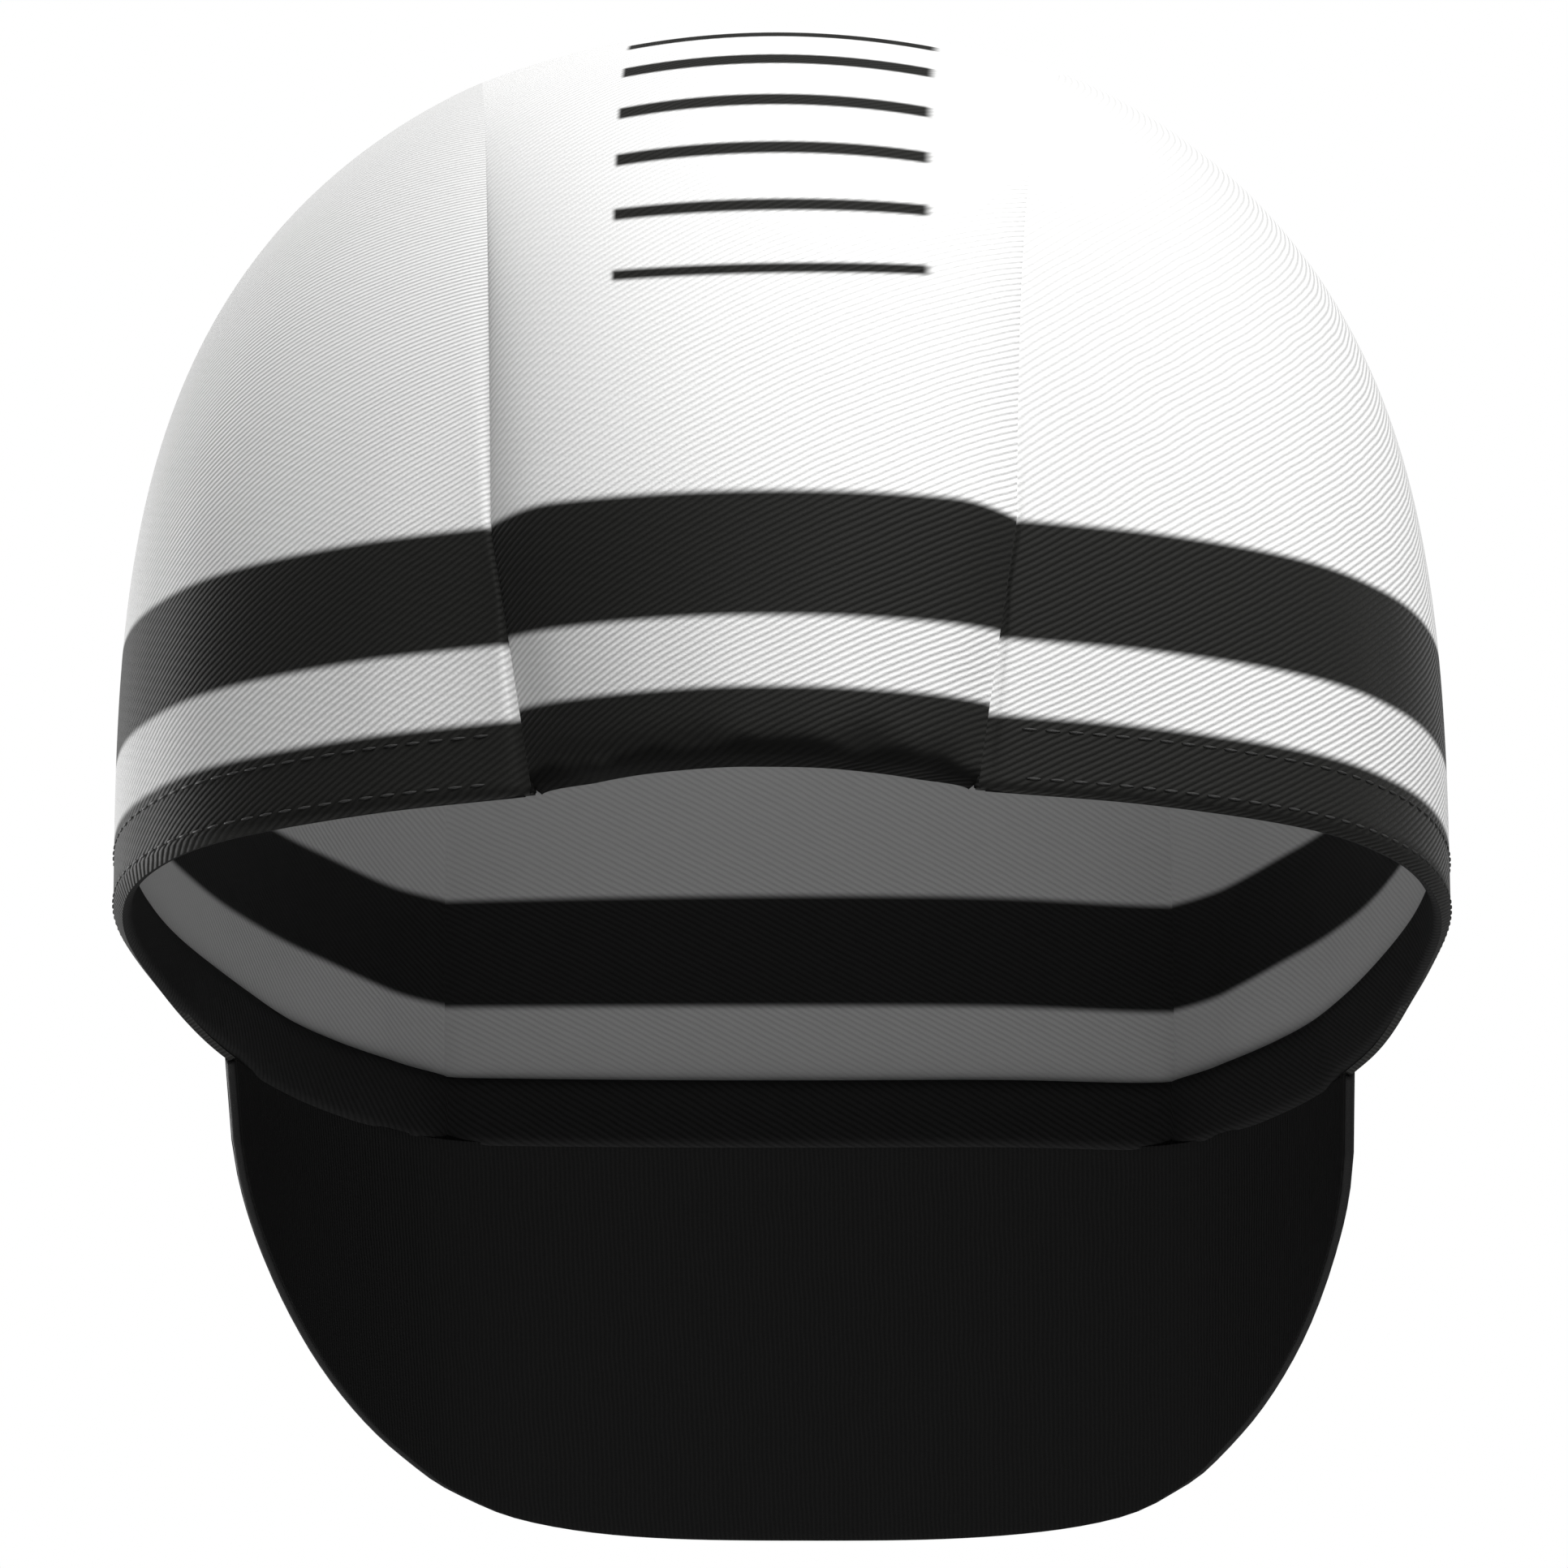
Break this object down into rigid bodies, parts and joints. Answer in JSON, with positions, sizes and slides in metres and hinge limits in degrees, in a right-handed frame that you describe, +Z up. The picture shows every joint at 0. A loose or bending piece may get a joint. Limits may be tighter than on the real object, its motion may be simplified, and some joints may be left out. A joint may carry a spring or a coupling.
{
  "type": "cycling cap",
  "caption": "Three-panel cotton cycling cap in its worn shape, with a centre strip, an elasticated nape, a turned hem and a short arched peak angled down.",
  "frame": {"origin": "centre of the head opening, in the plane of the rim, where the cap sits on a head", "axes": "+Z up, the peak points along -Y, the nape along +Y"},
  "size_m": [0.1592, 0.2506, 0.154],
  "materials": {
    "white_twill_strip": "matte cotton twill, white with black bands near the rim and six thin lines over the crown",
    "white_twill_side": "matte cotton twill, white with black bands near the rim",
    "black_twill_hem": "matte cotton twill, turned up inside",
    "black_elastic_casing": "matte cotton, gathered over elastic",
    "black_peak_cover": "matte fine-ribbed cotton over a flexible board"
  },
  "bodies": {
    "root": {"crown_centre_strip": "white_twill_strip", "crown_side_right": "white_twill_side", "crown_side_left": "white_twill_side", "rim_hem": "black_twill_hem", "nape_elastic": "black_elastic_casing", "peak": "black_peak_cover"}
  },
  "joints": []
}
